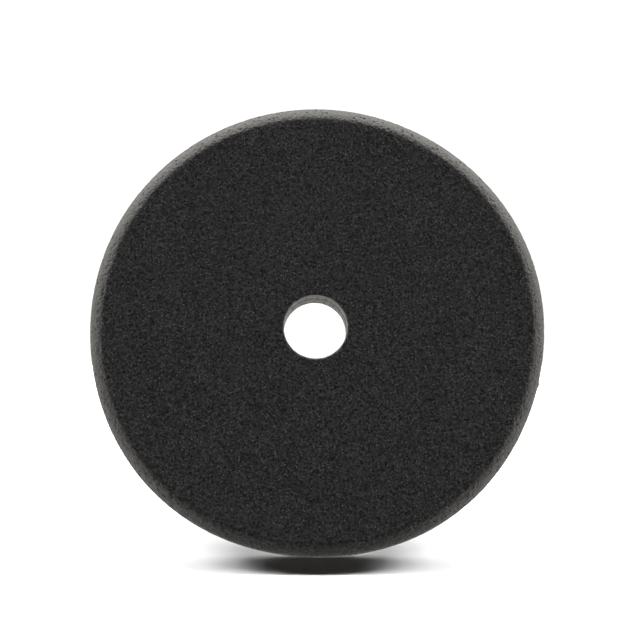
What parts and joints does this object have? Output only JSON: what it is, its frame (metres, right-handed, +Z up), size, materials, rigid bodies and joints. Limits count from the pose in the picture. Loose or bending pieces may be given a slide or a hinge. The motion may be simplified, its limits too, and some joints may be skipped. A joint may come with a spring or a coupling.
{
  "type": "polishing pad",
  "caption": "Round black foam polishing pad with a flat face, rounded front rim, plain centre hole, narrowing side wall and a loop cloth back for a hook-faced backing plate.",
  "frame": {"origin": "middle of the pad: on its axis, halfway between the working face and the loop face", "axes": "the pad stands on its rim; +Y runs along its axis from the working face to the loop face, +Z is up, and +X completes a right-handed frame"},
  "size_m": [0.15, 0.022, 0.15],
  "materials": {
    "working_foam": "matte",
    "interface_foam": "matte",
    "bond_film": "satin",
    "loop_ground": "matte",
    "loop_pile": "matte"
  },
  "bodies": {
    "root": {"working_foam": "working_foam", "foam_bond": "bond_film", "interface_foam": "interface_foam", "backing_bond": "bond_film", "loop_ground": "loop_ground", "loop_pile": "loop_pile"}
  },
  "joints": []
}
